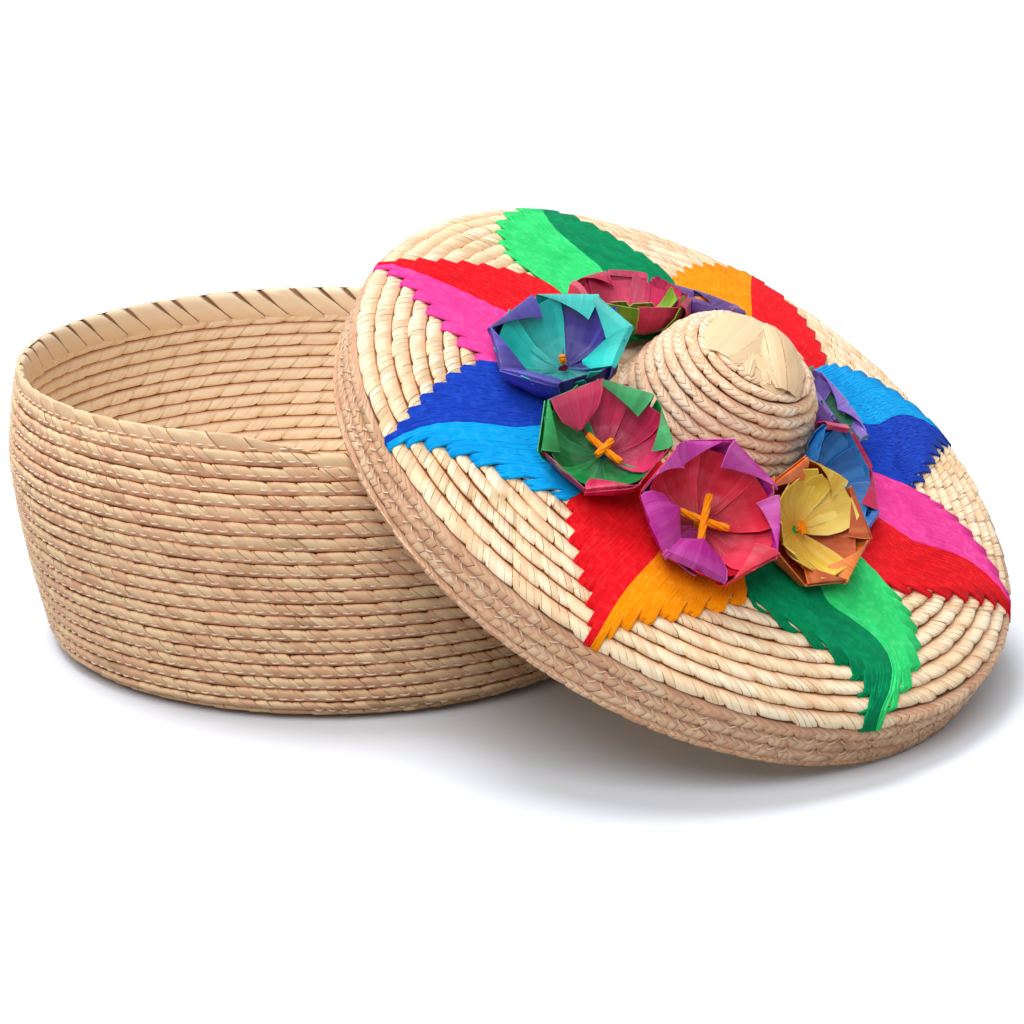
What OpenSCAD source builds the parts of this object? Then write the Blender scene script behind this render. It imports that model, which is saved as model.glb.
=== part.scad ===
// Tortilla warmer: a round basket of lapped palm braid with a hat-shaped lid.
// The lid is off, leaning on the basket's rim with its lower edge on the floor.
// Origin: centre of the basket's underside. +Z up, +X to the side that the lid leans on.

/* [Basket] */
// Widest diameter of the basket, at its belly
basket_d = 240; // [210:1:290]
// Diameter of the basket at its foot
foot_d = 212; // [170:1:256]
// Diameter over the rim
rim_d = 232; // [190:1:282]
// Height of the basket, to the top of its last turn
basket_h = 107.6; // [85:0.5:135]
// Height of the belly above the floor
belly_h = 74; // [50:1:90]
// Height of the rounded corner at the foot
foot_round = 10; // [7:0.5:14]

/* [Palm braid] */
// Thickness of a wall of lapped braid
wall = 3.4; // [2.6:0.1:4.2]
// How far one edge of each row stands proud of the next row
row_lap = 0.9; // [0.5:0.1:1.2]
// Part of each row that shows on the basket
basket_row = 5.7; // [4.5:0.1:7]
// Part of each row that shows on the lid
lid_row = 6; // [4.8:0.1:7.4]
// Width of the folded strip that makes the basket's last turn
strip_w = 12.4; // [9:0.2:15]
// Thickness of the folded strip
strip_t = 1.9; // [1.2:0.1:2.4]
// How far the last turn climbs above the turn below it
strip_rise = 6.2; // [4:0.1:7.5]
// Angle at which the last turn ends
strip_end = -92; // [-180:1:180]

/* [Lid] */
// Gap all round between the closed lid and the basket's belly
lid_clearance = 4.2; // [2:0.1:7]
// How much wider the shoulder is than the edge
lid_flare = 1; // [0:0.1:3]
// Height of the lid's upright skirt
skirt_h = 19.9; // [15:0.1:26]
// Rise of the lid's low dome above the skirt
dome_h = 17.6; // [13:0.1:24]
// Height of the folded strip along the lid's edge
edge_h = 3.2; // [2:0.1:5]

/* [Crown] */
// Diameter of the crown where it stands on the dome
crown_d = 72; // [56:1:86]
// Height of the crown
crown_h = 36; // [28:0.5:46]
// How much the crown narrows on its way up
crown_taper = 0.28; // [0.15:0.01:0.4]
// Diameter of the knot that starts the braid
knot_d = 30; // [22:0.5:36]
// Height of the knot above the crown
knot_h = 3.4; // [2:0.1:5]

/* [Embroidery] */
// Thickness of the layer of yarn
yarn_t = 1.5; // [0.8:0.1:2.2]
// Distance from the crown's foot out to where the yarn starts, under the flowers
yarn_root_gap = 6; // [3:0.5:12]
// Radius out to which the fields join in one ring
yarn_fan_r = 86; // [78:1:100]
// Distance from the shoulder in to the tips of the blades
yarn_tip_inset = 2.2; // [1.5:0.1:8]

/* [Flowers] */
// Distance from the crown's foot out to a flower's seat
flower_crown_gap = 12.2; // [10:0.2:18]
// Diameter of a flower at its mouth
flower_d = 42; // [34:0.5:51]
// Depth of a flower
flower_h = 14; // [10:0.5:18]
// Diameter of a flower where it is sewn down
flower_seat_d = 14; // [10:0.5:18]
// How far a flower leans out from the crown, in degrees
flower_tilt = 14; // [6:1:22]
// Thickness of the folded ribbon
ribbon_t = 0.8; // [0.5:0.1:1.2]
// Diameter of the yarn that ties each flower down
tie_d = 1.8; // [1.2:0.1:2.4]

/* [Leaning lid] */
// Tilt of the lid from level
lean_tilt = 32.8; // [28:0.1:40]
// Direction in which the lid slopes down
lean_dir = -38.2; // [-60:0.1:-20]
// Direction from the basket's centre to the lid's
lean_bearing = -27.1; // [-45:0.1:-10]
// Turn of the lid about its own centre
lid_turn = -152.5; // [-180:0.5:180]

/* [Hidden] */
$fn = 96;
BLADES = 8;
FLOWERS = 8;
blade_step = 360 / BLADES;
flower_step = 360 / FLOWERS;
// The flowers' ring is turned a little from the blades
flower_turn = 14.5;
// Clearance where pieces of one body lie against each other
seat = 0.2;
// Clearance where the lid leans on the basket
lean_gap = 0.3;
// Height at which the lid's edge clears the floor
floor_gap = 0.2;

palm = "#E9CFA4";
palm_inside = "#EED3A0";
palm_tan = "#D9B084";

// ---- basket ----
belly_r = basket_d / 2;
foot_r = foot_d / 2;
rim_r = rim_d / 2;
base_r = foot_r - foot_round;
wall_top = basket_h - strip_rise;
ledge_z = basket_h - strip_w;
// Outside radius of the smooth basket at a height
function basket_r(z) = z < belly_h
    ? belly_r - (belly_r - foot_r) * pow((belly_h - z) / belly_h, 1.5)
    : belly_r - (belly_r - rim_r) * pow((z - belly_h) / (basket_h - belly_h), 1.5);
basket_rows = round((wall_top - foot_round) / basket_row);
basket_step = (wall_top - foot_round) / basket_rows;
// The last turn lies inside the row below it, on a ledge of the wall
strip_out_r = basket_r(wall_top) - (wall - strip_t) - seat;
strip_in_r = strip_out_r - strip_t;
// The strip's two ends are this many degrees clear of the line where they meet
strip_slit = 0.15;
STRIP_SIDES = 90;
// Top of the last turn at an angle round the basket
function strip_top(a) = wall_top + strip_rise * ((a - strip_end + 720) % 360) / 360;

// ---- lid ----
edge_r = belly_r + row_lap + lid_clearance + wall;
lid_r = edge_r + lid_flare;
skirt_rows = round((skirt_h - edge_h) / basket_row);
skirt_step = (skirt_h - edge_h) / skirt_rows;
edge_soft = 0.8;
crown_r = crown_d / 2;
// Outside radius of the smooth skirt at a height
function skirt_r(z) = edge_r + lid_flare * z / skirt_h;
// A point and the outward normal on the dome, t = 0 at the shoulder and 90 at the middle
function dome_pt(t) = [lid_r * cos(t), skirt_h + dome_h * sin(t)];
function dome_nrm(t) = [dome_h * cos(t), lid_r * sin(t)] / norm([dome_h * cos(t), lid_r * sin(t)]);
function dome_z(r) = skirt_h + dome_h * sqrt(1 - pow(r / lid_r, 2));
function dome_in_z(r) = skirt_h + (dome_h - wall) * sqrt(1 - pow(min(r / (lid_r - wall), 1), 2));
// Distance along the dome from the shoulder, and its inverse
function dome_arc(t) = t <= 0 ? 0 : dome_arc(t - 1) + norm(dome_pt(t) - dome_pt(t - 1));
ARC = [for (t = [0 : 90]) [dome_arc(t), t]];
function dome_t(s) = lookup(s, ARC);
crown_t = acos((crown_r + row_lap) / lid_r);
crown_z = dome_pt(crown_t)[1];
dome_rows = round(dome_arc(round(crown_t)) / lid_row);
// Angles at which the dome's rows begin, from the shoulder in to the crown's foot
ROWS = [for (i = [0 : dome_rows]) min(crown_t, dome_t(i / dome_rows * dome_arc(round(crown_t))))];

// ---- crown ----
crown_rows = round(crown_h * 1.25 / basket_row);
crown_top = 0.955;
// Outside radius of the smooth crown, x = 0 at its foot and 1 at its top
function crown_at(x) = crown_r * (1 - crown_taper * x) * pow(1 - pow(x, 7), 0.4);
// Rows get shorter towards the rounded top
function crown_x(i) = crown_top * sin(90 * i / crown_rows);

// ---- yarn ----
yarn_tip_r = lid_r - yarn_tip_inset;
yarn_lift = row_lap + 0.1;
tip_w = 1.2;
yarn_root_r = crown_r + yarn_root_gap;
// Sideways bow of each blade, in degrees, as sewn by hand
BOW = [0, -2, -1, 8, 4, 4, 1, 3];
function blade_x(r) = max(0, (r - yarn_fan_r) / (yarn_tip_r - yarn_fan_r));
function blade_half(r) = max(blade_step / 2 * pow(1 - blade_x(r), 1.4), tip_w / r * 180 / PI);
function blade_mid(k, r) = BOW[k] * sin(180 * blade_x(r));
function half_seat(r) = seat / 2 / r * 180 / PI;
BLADE_RS = concat([yarn_root_r, (yarn_root_r + yarn_fan_r) / 2],
    [for (i = [0 : 7]) yarn_fan_r + (yarn_tip_r - yarn_fan_r) * i / 7]);

// ---- flowers ----
mouth_r = flower_d / 2;
seat_r = flower_seat_d / 2;
// The ring clears the crown, and is wide enough for the flowers' mouths side by side
mouth_ring_r = (mouth_r + seat) / sin(flower_step / 2) - flower_h * sin(flower_tilt);
ring_r = max(crown_r + flower_crown_gap + seat_r, mouth_ring_r);
flower_z = dome_z(ring_r + seat_r) + yarn_lift + yarn_t + lean_gap + seat_r * sin(flower_tilt);
cup_slope = (mouth_r - seat_r) / flower_h;
petal_z = ribbon_t + seat;
petal_h = flower_h * 0.6;
petal_seat_r = seat_r - 1.5;
petal_mouth_r = petal_seat_r + cup_slope * petal_h;
tie_z = petal_z + ribbon_t + seat + tie_d / 2 + 1.2;
tie_len = 2 * (petal_seat_r + cup_slope * (tie_z - petal_z - tie_d / 2) - ribbon_t * 1.4 - seat);

// ---- where the lid leans ----
lid_axis = [sin(lean_tilt) * cos(lean_dir), sin(lean_tilt) * sin(lean_dir), cos(lean_tilt)];
lid_z = max((edge_r - edge_soft) * sin(lean_tilt), edge_r * sin(lean_tilt) - edge_soft * cos(lean_tilt)) + floor_gap;
function lid_at(d) = [d * cos(lean_bearing), d * sin(lean_bearing), lid_z];
// True if a point of the basket is in the wall of a lid whose centre is d away
function in_skirt(q, h) = q > edge_r - wall - lean_gap && q < lid_r + row_lap + lean_gap
    && h > -lean_gap && h < skirt_h + dome_h;
function in_dome(q, h) = q <= edge_r - wall - lean_gap && h > dome_in_z(q) - lean_gap;
function touches(p, h) = let (q = sqrt(max(p * p - h * h, 0))) in_skirt(q, h) || in_dome(q, h);
// Angles at which the rim is tried, finer where the lid's edge crosses it
TRY_ANGLES = [each [-125 : 0.25 : -45], each [-42 : 3 : 12], each [15 : 0.25 : 105]];
wall_edge_r = basket_r(wall_top) + row_lap;
BASKET_POINTS = [for (a = TRY_ANGLES)
    each [[strip_in_r * cos(a), strip_in_r * sin(a), strip_top(a)],
        [strip_out_r * cos(a), strip_out_r * sin(a), strip_top(a)],
        [wall_edge_r * cos(a), wall_edge_r * sin(a), wall_top]]];
function hits(d) = let (c = lid_at(d))
    len([for (p = BASKET_POINTS) if (touches(p - c, (p - c) * lid_axis)) 1]) > 0;
// Nearest distance at which the lid clears the rim, found by halving
function nearest(lo, hi, n) = n == 0 ? hi
    : hits((lo + hi) / 2) ? nearest((lo + hi) / 2, hi, n - 1) : nearest(lo, (lo + hi) / 2, n - 1);
// A lid much wider than the rim reaches further over the basket
over_d = rim_r * 0.9;
lid_d = hits(over_d) ? nearest(over_d, rim_r + lid_r, 11) : nearest(0, over_d, 11);

// Puts a lid piece, drawn upright about the origin, where the lid leans
module on_lid() {
    translate(lid_at(lid_d))
        rotate([0, 0, lean_dir])
            rotate([0, lean_tilt, 0])
                rotate([0, 0, lid_turn])
                    children();
}

// ---- basket pieces ----

module basket_base() {
    rows = floor(base_r / lid_row);
    step = (base_r - seat) / rows;
    ridges = [for (i = [0 : rows - 1]) each [[i * step, wall - row_lap], [(i + 1) * step, wall]]];
    color(palm_tan)
        rotate_extrude()
            polygon(concat([[base_r - seat, 0], [0, 0]], ridges));
}

module basket_wall() {
    foot_out = [for (a = [0 : 22.5 : 67.5])
        [base_r + (basket_r(foot_round) - base_r) * sin(a), foot_round * (1 - cos(a))]];
    rows_out = [for (i = [0 : basket_rows - 1])
        let (z0 = foot_round + i * basket_step, z1 = z0 + basket_step)
            each [[basket_r(z0), z0], [basket_r(z1) + row_lap, z1]]];
    ledge_r = strip_out_r + seat;
    top_in = [[ledge_r, wall_top], [ledge_r, ledge_z]];
    wall_in = [for (i = [0 : 8])
        let (z = ledge_z + (foot_round - ledge_z) * i / 8)
            [basket_r(z) - wall, z]];
    foot_in = [for (a = [67.5 : -22.5 : 0])
        [base_r + (basket_r(foot_round) - wall - base_r) * sin(a), wall + (foot_round - wall) * (1 - cos(a))]];
    color(palm)
        rotate_extrude()
            polygon(concat(foot_out, rows_out, top_in, wall_in, foot_in));
}

// The last turn climbs one rise in one turn round the basket and ends in a step
module basket_last_turn() {
    angles = [for (i = [0 : STRIP_SIDES])
        strip_end + strip_slit + i * (360 - 2 * strip_slit) / STRIP_SIDES];
    points = [for (a = angles)
        each [for (c = [[strip_in_r, ledge_z], [strip_out_r, ledge_z],
                [strip_out_r, strip_top(a)], [strip_in_r, strip_top(a)]])
            [c[0] * cos(a), c[0] * sin(a), c[1]]]];
    sides = [for (i = [0 : STRIP_SIDES - 1])
        for (k = [0 : 3])
            let (p = 4 * i + k, q = 4 * i + (k + 1) % 4)
                each [[p, q, q + 4], [p, q + 4, p + 4]]];
    last = 4 * STRIP_SIDES;
    color(palm_inside)
        polyhedron(points, concat([[3, 2, 1, 0]], sides, [[last, last + 1, last + 2, last + 3]]));
}

// ---- lid pieces, upright ----

module knot_shape() {
    translate([0, 0, crown_z + crown_h * crown_top])
        rotate_extrude()
            polygon([[0, 0], [knot_d / 2, 0], [knot_d / 2 * 0.97, knot_h * 0.4],
                [knot_d / 2 * 0.72, knot_h * 0.85], [knot_d / 2 * 0.3, knot_h], [0, knot_h]]);
}

module crown_shape() {
    rows_out = [for (i = [0 : crown_rows - 1])
        each [[crown_at(crown_x(i)) + row_lap, crown_h * crown_x(i)],
            [crown_at(crown_x(i + 1)), crown_h * crown_x(i + 1)]]];
    // The braid starts in the knot, which closes the hole at the top
    hole_r = crown_at(crown_top) - wall;
    rows_in = [for (i = [crown_rows - 1 : -1 : 0])
        [max(crown_at(crown_x(i)) - wall, hole_r), max(0, crown_h * crown_x(i) - (i == crown_rows - 1 ? wall : 0))]];
    translate([0, 0, crown_z])
        rotate_extrude()
            polygon(concat(rows_out, [[hole_r, crown_h * crown_top]], rows_in));
}

module brim_shape() {
    rows_out = [for (i = [0 : dome_rows - 1])
        each [dome_pt(ROWS[i]) + row_lap * dome_nrm(ROWS[i]), dome_pt(ROWS[i + 1])]];
    hole_r = crown_r - wall;
    inside = [for (i = [0 : 10])
        let (r = (lid_r - wall) * cos(acos(hole_r / (lid_r - wall)) * (10 - i) / 10))
            [r, dome_in_z(r)]];
    rotate_extrude()
        polygon(concat(rows_out, [[hole_r, dome_pt(ROWS[dome_rows])[1]]], inside));
}

module skirt_shape() {
    rows_out = [for (i = [0 : skirt_rows - 1])
        let (z0 = edge_h + i * skirt_step, z1 = z0 + skirt_step)
            each [[skirt_r(z0) + row_lap, z0], [skirt_r(z1), z1]]];
    rotate_extrude()
        polygon(concat(rows_out, [[skirt_r(skirt_h) - wall, skirt_h], [skirt_r(edge_h) - wall, edge_h]]));
}

module edge_shape() {
    rotate_extrude()
        polygon([[edge_r - wall + edge_soft, 0], [edge_r - edge_soft, 0], [edge_r, edge_soft],
            [skirt_r(edge_h), edge_h], [skirt_r(edge_h) - wall, edge_h], [edge_r - wall, edge_soft]]);
}

// One colour of a blade: side -1 is the half before the middle line, 1 the half after it
module yarn_shape(k, side) {
    outer_line = [for (r = BLADE_RS)
        let (a = blade_mid(k, r) + side * (blade_half(r) - half_seat(r)))
            r * [cos(a), sin(a)]];
    middle_line = [for (i = [len(BLADE_RS) - 1 : -1 : 0])
        let (r = BLADE_RS[i], a = blade_mid(k, r) + side * half_seat(r))
            r * [cos(a), sin(a)]];
    top = [for (t = ROWS) dome_pt(t) + (yarn_lift + yarn_t) * dome_nrm(t)];
    under = [for (i = [dome_rows : -1 : 0]) dome_pt(ROWS[i]) + yarn_lift * dome_nrm(ROWS[i])];
    rotate([0, 0, k * blade_step])
        intersection() {
            rotate([0, 0, -blade_step])
                rotate_extrude(angle = 2 * blade_step)
                    polygon(concat(top, under));
            linear_extrude(skirt_h + dome_h * 2)
                polygon(concat(outer_line, middle_line));
        }
}

// Puts a flower piece, drawn on its own seat, on the ring round the crown
module at_flower(k) {
    rotate([0, 0, flower_turn + k * flower_step])
        translate([ring_r, 0, flower_z])
            rotate([0, flower_tilt, 0])
                children();
}

// Cup of folded ribbon with a many-sided mouth
module cup_shape(foot_r, top_r, depth, sides) {
    intersection() {
        rotate_extrude()
            polygon([[0, 0], [foot_r, 0], [top_r, depth], [top_r - ribbon_t * 1.4, depth],
                [foot_r - ribbon_t * 0.4, ribbon_t], [0, ribbon_t]]);
        linear_extrude(depth)
            circle(r = top_r, $fn = sides);
    }
}

module flower_cup(k) {
    at_flower(k)
        cup_shape(seat_r, mouth_r, flower_h, 8);
}

module flower_petals(k) {
    at_flower(k)
        translate([0, 0, petal_z])
            rotate([0, 0, 30])
                cup_shape(petal_seat_r, petal_mouth_r, petal_h, 6);
}

module flower_tie(k) {
    at_flower(k)
        translate([0, 0, tie_z])
            for (a = [40, 130])
                rotate([0, 90, a])
                    cylinder(d = tie_d, h = tie_len, center = true);
}

// ---- lid pieces, where they lean ----

module lid_knot() { color(palm_inside) on_lid() knot_shape(); }
module lid_crown() { color(palm) on_lid() crown_shape(); }
module lid_brim() { color(palm) on_lid() brim_shape(); }
module lid_skirt() { color(palm) on_lid() skirt_shape(); }
module lid_edge() { color(palm_tan) on_lid() edge_shape(); }
module yarn(k, side, shade) { color(shade) on_lid() yarn_shape(k, side); }
module cup(k, shade) { color(shade) on_lid() flower_cup(k); }
module petals(k, shade) { color(shade) on_lid() flower_petals(k); }
module tie(k) { color("#FF8A1A") on_lid() flower_tie(k); }

basket_base();
basket_wall();
basket_last_turn();
lid_knot();
lid_crown();
lid_brim();
lid_skirt();
lid_edge();
yarn(0, -1, "#EE1C25");  // yarn_1_red
yarn(0, 1, "#F0449B");  // yarn_1_pink
yarn(1, -1, "#1438B0");  // yarn_2_blue
yarn(1, 1, "#0AA5E8");  // yarn_2_sky
yarn(2, -1, "#EE1C25");  // yarn_3_red
yarn(2, 1, "#FF9A00");  // yarn_3_orange
yarn(3, -1, "#00805A");  // yarn_4_green
yarn(3, 1, "#3FE07A");  // yarn_4_mint
yarn(4, -1, "#EE1C25");  // yarn_5_red
yarn(4, 1, "#F0449B");  // yarn_5_pink
yarn(5, -1, "#1438B0");  // yarn_6_blue
yarn(5, 1, "#0AA5E8");  // yarn_6_sky
yarn(6, -1, "#EE1C25");  // yarn_7_red
yarn(6, 1, "#FF9A00");  // yarn_7_orange
yarn(7, -1, "#00805A");  // yarn_8_green
yarn(7, 1, "#3FE07A");  // yarn_8_mint
cup(0, "#3B2E8C");  // flower_1_cup
petals(0, "#00A9A5");  // flower_1_petals
tie(0);  // flower_1_tie
cup(1, "#00903F");  // flower_2_cup
petals(1, "#C4144F");  // flower_2_petals
tie(1);  // flower_2_tie
cup(2, "#C4169A");  // flower_3_cup
petals(2, "#D4002F");  // flower_3_petals
tie(2);  // flower_3_tie
cup(3, "#E0651A");  // flower_4_cup
petals(3, "#F0C838");  // flower_4_petals
tie(3);  // flower_4_tie
cup(4, "#0A6FB8");  // flower_5_cup
petals(4, "#C4144F");  // flower_5_petals
tie(4);  // flower_5_tie
cup(5, "#8A60C8");  // flower_6_cup
petals(5, "#00805A");  // flower_6_petals
tie(5);  // flower_6_tie
cup(6, "#5A2A86");  // flower_7_cup
petals(6, "#E0651A");  // flower_7_petals
tie(6);  // flower_7_tie
cup(7, "#C4144F");  // flower_8_cup
petals(7, "#7FB820");  // flower_8_petals
tie(7);  // flower_8_tie
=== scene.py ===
import math
import random

import bmesh
import bpy
import numpy as np
from mathutils import Matrix, Vector


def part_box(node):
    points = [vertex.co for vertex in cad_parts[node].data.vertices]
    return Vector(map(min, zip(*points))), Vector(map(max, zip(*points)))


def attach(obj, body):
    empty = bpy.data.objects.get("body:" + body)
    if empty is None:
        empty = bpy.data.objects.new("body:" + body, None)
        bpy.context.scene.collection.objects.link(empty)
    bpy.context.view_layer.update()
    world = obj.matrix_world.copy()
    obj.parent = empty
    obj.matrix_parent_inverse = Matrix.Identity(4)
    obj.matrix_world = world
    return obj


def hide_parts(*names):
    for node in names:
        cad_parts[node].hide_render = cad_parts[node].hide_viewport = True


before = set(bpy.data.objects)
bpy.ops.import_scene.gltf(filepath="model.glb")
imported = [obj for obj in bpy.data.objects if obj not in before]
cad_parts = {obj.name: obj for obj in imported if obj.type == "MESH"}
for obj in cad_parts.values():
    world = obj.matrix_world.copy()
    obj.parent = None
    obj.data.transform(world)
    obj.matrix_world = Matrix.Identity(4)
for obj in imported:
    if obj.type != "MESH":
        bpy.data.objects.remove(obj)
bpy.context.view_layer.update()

random.seed(7)
chance = np.random.default_rng(11)
MM = 0.001


# ---------------------------------------------------------------- sizes, in millimetres

def cad_box(node):
    """Lowest and highest corner of a CAD node, in millimetres."""
    low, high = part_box(node)
    return np.array(low) / MM, np.array(high) / MM


LAP = 0.9             # how far a row's edge stands proud
FOLD = 11.5           # length of one fold of the braid along its strip
ROW = 5.0             # part of a row that shows on the basket
LID_ROW = 6.0         # part of a row that shows on the lid
CROWN_ROW = 4.5
SKIRT_ROWS = 3
BASE_START, BRIM_START, CROWN_START = 7.5, 9.0, 7.0    # where a coil starts, along its outline
OUTLINE_STEP = 0.25   # between the points of an outline
LEAST_R = 0.4         # no braid comes nearer to its axis
FLOOR_GAP = 0.02      # no braid comes nearer to the floor

BELLY_R = cad_box("basket_wall")[1][0] - LAP
WALL_TOP = cad_box("basket_wall")[1][2]
BASKET_H = cad_box("basket_last_turn")[1][2]
BASE_R = cad_box("basket_base")[1][0] + 0.2
UNDER_BASE = 14.0     # how far the wall's outline starts inside the base's edge
FOOT_R = 106.0        # radius that the wall's curve would have at the floor
RIM_R = 116.0
BELLY_H = 74.0
FOOT_ROUND = 10.0
WALL_CURVE = 1.5      # how sharply the wall curves in above and below the belly
STRIP_END = -92.0     # degrees round the basket at which the last turn ends

LEAN_TILT, LEAN_DIR, LID_TURN = 32.8, -38.2, -152.5
EDGE_R, EDGE_H, EDGE_SOFT = 128.5, 3.2, 0.8
EDGE_FLARE = 0.16
LID_R = 129.5
SKIRT_H = 19.9
DOME_H = 17.6
CROWN_R, CROWN_H, CROWN_TAPER = 36.0, 36.0, 0.28
CROWN_SEAM = 1.5      # how far the crown's foot goes below the brim's upper face
LID_END = 140.0       # degrees round the lid at which its rows end

THREAD_R, SKIRT_THREAD_R = 0.34, 0.30

BLADES = 8
BLADE_ANGLE = 360 / BLADES
YARN_ROOT_R, YARN_TIP_R = 42.0, 127.3
YARN_BOW = (0, -2, -1, 8, 4, 4, 1, 3)    # sideways bow of each blade, in degrees, as sewn by hand
STRANDS = 54          # strands of yarn side by side in each colour of a blade
STRAND_R = 0.54
STRAND_STEP = 3.0     # between the points of a strand
STRAND_AT = 1.45      # height of a strand's middle above the brim's outline
STRAND_WAVE = 0.22    # how far a strand follows the rows below it
PAST_LIP = 0.9        # how far past a row's lip a strand ends
# Degrees by which each blade's tip lags, as the blades curl round the lid
YARN_SWEEP = (2.0, 2.5, 3.0, 0.0, -5.0, -1.5, -2.0, 1.5)
# For each half of a blade: radius at which it starts to narrow, and how sharply it does
YARN_SHAPE = ((80, 1.2), (86, 1.4), (86, 1.4), (86, 1.4), (86, 1.4), (86, 1.4), (86, 1.2), (86, 1.3),
              (84, 1.0), (82, 1.1), (82, 1.0), (82, 1.0), (84, 0.8), (82, 1.0), (84, 0.7), (86, 0.6))
# Degrees by which a half blade is sewn fuller than its shape, and the one that is fuller still
YARN_FULL, FULLER_HALF, FULLER = 0.8, (3, -1), 2.2

FLOWERS = 8
PETALS = 7
FLOWER_SEAT_R = 7.0
FLOWER_RIM = (0, 0, 14, 1)    # middle of a flower's rim, as its matrix takes it
FLOWER_LIFT = 2.6     # seat above the dome, over the embroidery
RIBBON_T, LEAF_T = 0.35, 0.45
RIBBON_GAP = 0.4      # left between the ribbons of two flowers
PRESS = 4.0           # depth over which ribbons that meet are pressed flat
CROWN_GAP, YARN_GAP = 1.6, 2.3    # left between ribbons and the crown, and above the dome

BRAID_SHARP, RIBBON_SHARP = 50, 40    # degrees past which an edge of a mesh stays sharp


# ---------------------------------------------------------------- where the lid leans

def lean_matrix():
    """Turns an upright lid, its edge at z = 0, to where it leans, found from its edge's box."""
    turn = (Matrix.Rotation(math.radians(LEAN_DIR), 4, "Z")
            @ Matrix.Rotation(math.radians(LEAN_TILT), 4, "Y"))
    axis = np.array(turn.to_3x3() @ Vector((0, 0, 1)))
    reach = np.sqrt(1 - axis ** 2)
    outline_points = ((EDGE_R - EDGE_SOFT, 0), (EDGE_R, EDGE_SOFT), (EDGE_R + EDGE_FLARE, EDGE_H))
    furthest = np.max([h * axis + r * reach for r, h in outline_points], axis=0)
    centre = cad_box("lid_edge")[1] - furthest
    return (Matrix.Translation(Vector(centre)) @ turn
            @ Matrix.Rotation(math.radians(LID_TURN), 4, "Z"))


LEAN = np.array(lean_matrix())


def leaned(points):
    """Points of the upright lid, where it leans."""
    return points @ LEAN[:3, :3].T + LEAN[:3, 3]


# ---------------------------------------------------------------- outlines of the walls

def outline(r, z, side, soften=3.0):
    """A wall's outline walked along its braid in small steps, with outward normals."""
    step = np.hypot(np.diff(r), np.diff(z))
    along = np.concatenate([[0], np.cumsum(step)])
    s = np.arange(0, along[-1], OUTLINE_STEP)
    r, z = np.interp(s, along, r), np.interp(s, along, z)
    half = int(soften / OUTLINE_STEP)
    window = np.hanning(2 * half + 3)[1:-1]
    window /= window.sum()

    def smooth(values):
        return np.convolve(np.pad(values, half, mode="edge"), window, mode="valid")

    normal_r, normal_z = smooth(side * np.gradient(z)), smooth(-side * np.gradient(r))
    size = np.hypot(normal_r, normal_z)
    return {"s": s, "r": r, "z": z, "nr": normal_r / size, "nz": normal_z / size, "length": s[-1]}


def on_outline(line, s, proud):
    """Radius and height at a distance along an outline and a height above it."""
    r = np.interp(s, line["s"], line["r"]) + proud * np.interp(s, line["s"], line["nr"])
    z = np.interp(s, line["s"], line["z"]) + proud * np.interp(s, line["s"], line["nz"])
    return np.maximum(r, LEAST_R), z


def basket_radius(z):
    low = np.maximum(BELLY_H - z, 0) / BELLY_H
    high = np.maximum(z - BELLY_H, 0) / (BASKET_H - BELLY_H)
    below = BELLY_R - (BELLY_R - FOOT_R) * low ** WALL_CURVE
    above = (BELLY_R - RIM_R) * high ** WALL_CURVE
    return below - above


def base_outline():
    r = np.linspace(0, BASE_R, 100)
    return outline(r, np.full_like(r, LAP), 1)


def wall_outline():
    """From under the base's edge round the foot and up to the rim."""
    r_foot = basket_radius(FOOT_ROUND)
    a = np.radians(np.linspace(0, 90, 30))
    foot_r = BASE_R + (r_foot - BASE_R) * np.sin(a)
    foot_z = LAP + (FOOT_ROUND - LAP) * (1 - np.cos(a))
    z = np.linspace(FOOT_ROUND, BASKET_H, 200)[1:]
    r = np.concatenate([[BASE_R - UNDER_BASE], foot_r, basket_radius(z)])
    return outline(r, np.concatenate([[LAP], foot_z, z]), 1)


def crown_height(r):
    """Height of the dome, on which the crown and the flowers stand."""
    return SKIRT_H + DOME_H * np.sqrt(1 - (r / LID_R) ** 2)


CROWN_Z = crown_height(CROWN_R + LAP)


def crown_outline():
    """From the middle of the top, which is rounded over, down the tapered side to the foot."""
    x = np.concatenate([[1], 1 - np.linspace(0, 1, 400) ** 2])[1:]
    r = CROWN_R * (1 - CROWN_TAPER * x) * (1 - x ** 7) ** 0.4
    # It ends just under the brim's upper face, so that no light comes through the seam
    return outline(np.append(r, CROWN_R), np.append(CROWN_Z + CROWN_H * x, CROWN_Z - CROWN_SEAM), -1)


def brim_outline():
    """From under the crown out over the dome and down the skirt to the lid's edge."""
    t = np.radians(np.linspace(78, 0, 400))
    r, z = LID_R * np.cos(t), SKIRT_H + DOME_H * np.sin(t)
    skirt_z = np.linspace(SKIRT_H, 0, 60)[1:]
    skirt_r = EDGE_R + (LID_R - EDGE_R) * skirt_z / SKIRT_H
    line = outline(np.concatenate([r, skirt_r]), np.concatenate([z, skirt_z]), -1, soften=5)
    line["shoulder"] = np.interp(-SKIRT_H, -line["z"], line["s"])
    return line


# ---------------------------------------------------------------- meshes

def smooth_mesh(bm, name, sharp):
    """Writes a mesh, smooth except where it bends by more than an angle in degrees."""
    mesh = bpy.data.meshes.new(name)
    bm.to_mesh(mesh)
    bm.free()
    mesh.shade_smooth()
    mesh.set_sharp_from_angle(angle=math.radians(sharp))
    return mesh


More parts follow.
